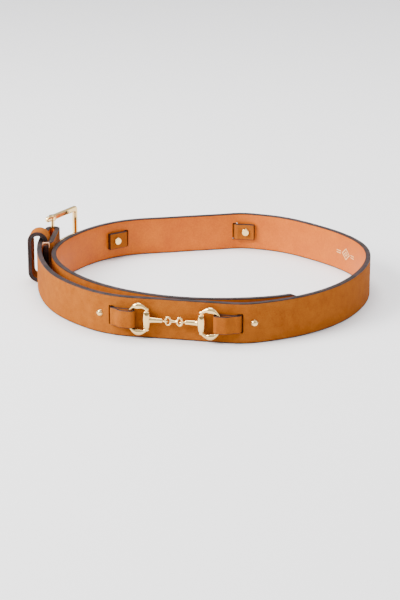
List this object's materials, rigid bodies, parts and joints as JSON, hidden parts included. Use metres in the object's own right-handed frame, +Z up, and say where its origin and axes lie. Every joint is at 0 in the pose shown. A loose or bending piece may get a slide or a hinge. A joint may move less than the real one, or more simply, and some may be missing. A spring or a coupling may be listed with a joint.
{
  "type": "leather belt",
  "caption": "Coiled leather dress belt with a hinged pin buckle, a keeper loop and snaffle-bit ornaments held by riveted leather tabs.",
  "frame": {"origin": "middle of the coil's bounding box, on the surface that the lower edge stands on", "axes": "+Z up across the strap's width; -Y towards the ornament and the overlapped tip; the buckle is at -X, pointing to +Y"},
  "size_m": [0.2675, 0.256, 0.0455],
  "materials": {
    "suede": "napped nubuck, tan, dark painted edges",
    "lining": "smooth satin, orange tan",
    "thread": "waxed thread",
    "gold": "polished pale gold plate"
  },
  "bodies": {
    "strap": {"strap_face": "suede", "strap_lining": "lining", "front_left_tab": "suede", "front_left_rivet": "gold", "front_left_rivet_cap": "gold", "front_right_tab": "suede", "front_right_rivet": "gold", "front_right_rivet_cap": "gold", "rear_left_tab": "suede", "rear_left_rivet": "gold", "rear_left_rivet_cap": "gold", "rear_right_tab": "suede", "rear_right_rivet": "gold", "rear_right_rivet_cap": "gold", "keeper": "suede", "upper_tack": "thread", "lower_tack": "thread"},
    "buckle": {"buckle_frame": "gold", "buckle_bar": "gold"},
    "prong": {"buckle_prong": "gold"},
    "front_left_ring": {"front_left_ring": "gold"},
    "front_left_arm": {"front_left_arm": "gold"},
    "front_right_ring": {"front_right_ring": "gold"},
    "front_right_arm": {"front_right_arm": "gold"},
    "front_link": {"front_link": "gold"},
    "rear_left_ring": {"rear_left_ring": "gold"},
    "rear_left_arm": {"rear_left_arm": "gold"},
    "rear_right_ring": {"rear_right_ring": "gold"},
    "rear_right_arm": {"rear_right_arm": "gold"},
    "rear_link": {"rear_link": "gold"}
  },
  "joints": [
    {"name": "buckle_hinge", "type": "hinge", "parent": "strap", "child": "buckle", "pos_m": [-0.11622, 0.05958, 0.0198], "axis": [0, 0, 1], "range_deg": [-15, 60]},
    {"name": "prong_hinge", "type": "hinge", "parent": "buckle", "child": "prong", "pos_m": [-0.11622, 0.05958, 0.0198], "axis": [0, 0, 1], "range_deg": [0, 100]},
    {"name": "front_lift", "type": "hinge", "parent": "strap", "child": "front_left_ring", "pos_m": [-0.04917, -0.11038, 0.015], "axis": [0, 0, -1], "range_deg": [0, 10]},
    {"name": "front_left_arm_turn", "type": "hinge", "parent": "front_left_ring", "child": "front_left_arm", "pos_m": [-0.03636, -0.11315, 0.015], "axis": [0, 0, 1], "range_deg": [0, 10]},
    {"name": "front_link_twist", "type": "hinge", "parent": "front_left_arm", "child": "front_link", "pos_m": [-0.01671, -0.11738, 0.015], "axis": [-0.9775, 0.2109, 0], "range_deg": [-8, 8]},
    {"name": "front_right_ring_turn", "type": "hinge", "parent": "strap", "child": "front_right_ring", "pos_m": [0.01574, -0.12438, 0.015], "axis": [0, 0, 1], "range_deg": [0, 10]},
    {"name": "front_right_arm_turn", "type": "hinge", "parent": "front_right_ring", "child": "front_right_arm", "pos_m": [0.00294, -0.12162, 0.015], "axis": [0, 0, -1], "range_deg": [0, 10]},
    {"name": "rear_lift", "type": "hinge", "parent": "strap", "child": "rear_left_ring", "pos_m": [0.01641, 0.12431, 0.015], "axis": [0, 0, -1], "range_deg": [0, 10]},
    {"name": "rear_left_arm_turn", "type": "hinge", "parent": "rear_left_ring", "child": "rear_left_arm", "pos_m": [0.00363, 0.12142, 0.015], "axis": [0, 0, 1], "range_deg": [0, 10]},
    {"name": "rear_link_twist", "type": "hinge", "parent": "rear_left_arm", "child": "rear_link", "pos_m": [-0.01597, 0.11698, 0.015], "axis": [0.9753, 0.2208, 0], "range_deg": [-8, 8]},
    {"name": "rear_right_ring_turn", "type": "hinge", "parent": "strap", "child": "rear_right_ring", "pos_m": [-0.04835, 0.10965, 0.015], "axis": [0, 0, 1], "range_deg": [0, 10]},
    {"name": "rear_right_arm_turn", "type": "hinge", "parent": "rear_right_ring", "child": "rear_right_arm", "pos_m": [-0.03558, 0.11254, 0.015], "axis": [0, 0, -1], "range_deg": [0, 10]}
  ],
  "couplings": [
    {"joint": "front_left_arm_turn", "follows": "front_lift", "ratio": 1},
    {"joint": "front_right_ring_turn", "follows": "front_lift", "ratio": 1},
    {"joint": "front_right_arm_turn", "follows": "front_lift", "ratio": 1},
    {"joint": "rear_left_arm_turn", "follows": "rear_lift", "ratio": 1},
    {"joint": "rear_right_ring_turn", "follows": "rear_lift", "ratio": 1},
    {"joint": "rear_right_arm_turn", "follows": "rear_lift", "ratio": 1}
  ]
}
